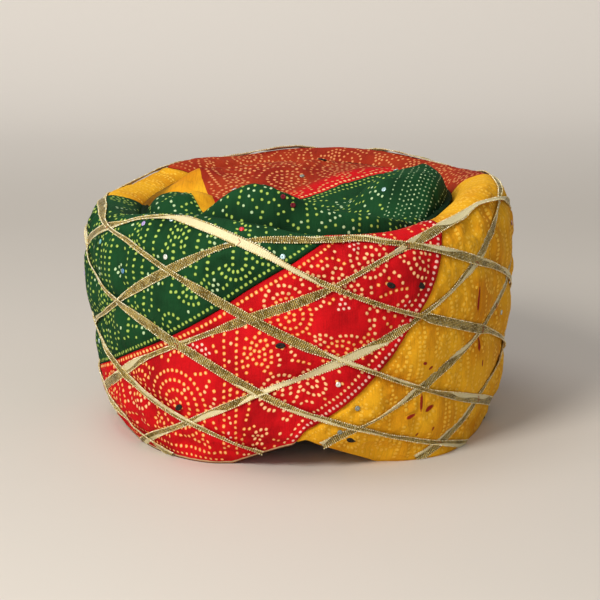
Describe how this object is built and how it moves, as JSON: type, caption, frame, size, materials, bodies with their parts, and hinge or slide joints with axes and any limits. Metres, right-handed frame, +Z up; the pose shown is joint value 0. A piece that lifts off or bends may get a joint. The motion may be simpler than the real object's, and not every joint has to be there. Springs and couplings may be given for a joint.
{
  "type": "tied turban pagri",
  "caption": "Ready tied pagri with a padded wall of slanting dyed cloth turns, a gathered crown and crossed gold ribbons, open below for the head.",
  "frame": {"origin": "centre of the bounding box at the hem, on the surface that the pagri rests on", "axes": "+Z up, -Y towards the brow, +X towards the side with the yellow turn"},
  "size_m": [0.2428, 0.2711, 0.1447],
  "materials": {
    "red_cloth": "dyed silky cloth with a dotted tie-dye print",
    "yellow_cloth": "dyed silky cloth, faintly dotted",
    "green_cloth": "dyed silky cloth with a dotted tie-dye print",
    "gold_ribbon": "woven metallic ribbon, satin sheen"
  },
  "bodies": {
    "root": {"turn_red_brow": "red_cloth", "turn_yellow_side": "yellow_cloth", "turn_red_nape": "red_cloth", "turn_yellow_nape": "yellow_cloth", "turn_green_side": "green_cloth", "crown_cloth": "green_cloth", "ribbon_1": "gold_ribbon", "ribbon_2": "gold_ribbon", "ribbon_3": "gold_ribbon", "ribbon_4": "gold_ribbon", "ribbon_5": "gold_ribbon", "ribbon_6": "gold_ribbon", "ribbon_7": "gold_ribbon", "ribbon_8": "gold_ribbon"}
  },
  "joints": []
}
